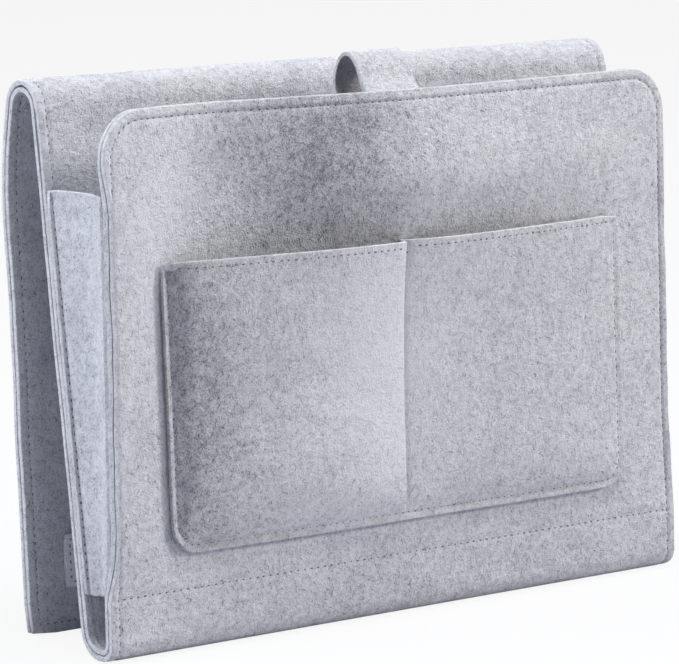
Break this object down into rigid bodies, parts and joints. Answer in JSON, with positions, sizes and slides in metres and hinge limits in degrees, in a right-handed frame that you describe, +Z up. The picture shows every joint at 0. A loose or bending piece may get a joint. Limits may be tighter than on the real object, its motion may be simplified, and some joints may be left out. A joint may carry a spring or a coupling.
{
  "type": "bedside caddy",
  "caption": "Felt bedside caddy folded like an N, with a gusseted main compartment, sewn front pockets, a pull loop and a fold-over flap that tucks under a mattress.",
  "frame": {"origin": "middle of the caddy's bounding box in plan, on the table it stands on", "axes": "+X across the width to the right as seen from the front, +Y from the pockets to the flap, +Z up"},
  "size_m": [0.33, 0.0992, 0.2603],
  "materials": {
    "face_felt": "needled felt, melange",
    "lining_felt": "needled felt, melange",
    "board": "matte sheet",
    "hook_tape": "hook tape"
  },
  "bodies": {
    "rear": {"rear_face_felt": "face_felt", "rear_lining_felt": "lining_felt", "rear_board": "board", "gusset_left": "lining_felt", "gusset_right": "lining_felt"},
    "front": {"front_face_felt": "face_felt", "front_lining_felt": "lining_felt", "front_board": "board", "pocket_panel": "face_felt"},
    "loop": {"pull_loop": "face_felt"},
    "flap": {"flap_face_felt": "face_felt", "flap_lining_felt": "lining_felt", "flap_board": "board", "hook_patch_left": "hook_tape", "hook_patch_right": "hook_tape"}
  },
  "joints": [
    {"name": "flap_fold", "type": "hinge", "parent": "rear", "child": "flap", "pos_m": [0, 0.03217, 0.2545], "axis": [1, 0, 0], "range_deg": [-4, 165]},
    {"name": "front_close", "type": "hinge", "parent": "rear", "child": "front", "pos_m": [0, -0.03069, 0.02888], "axis": [1, 0, 0], "range_deg": [-4, 0], "deforming": ["gusset_left", "gusset_right"]},
    {"name": "loop_bend", "type": "hinge", "parent": "front", "child": "loop", "pos_m": [0, -0.02249, 0.22619], "axis": [1, 0, 0], "range_deg": [-10, 0], "stiffness_Nm_per_rad": 0.02}
  ]
}
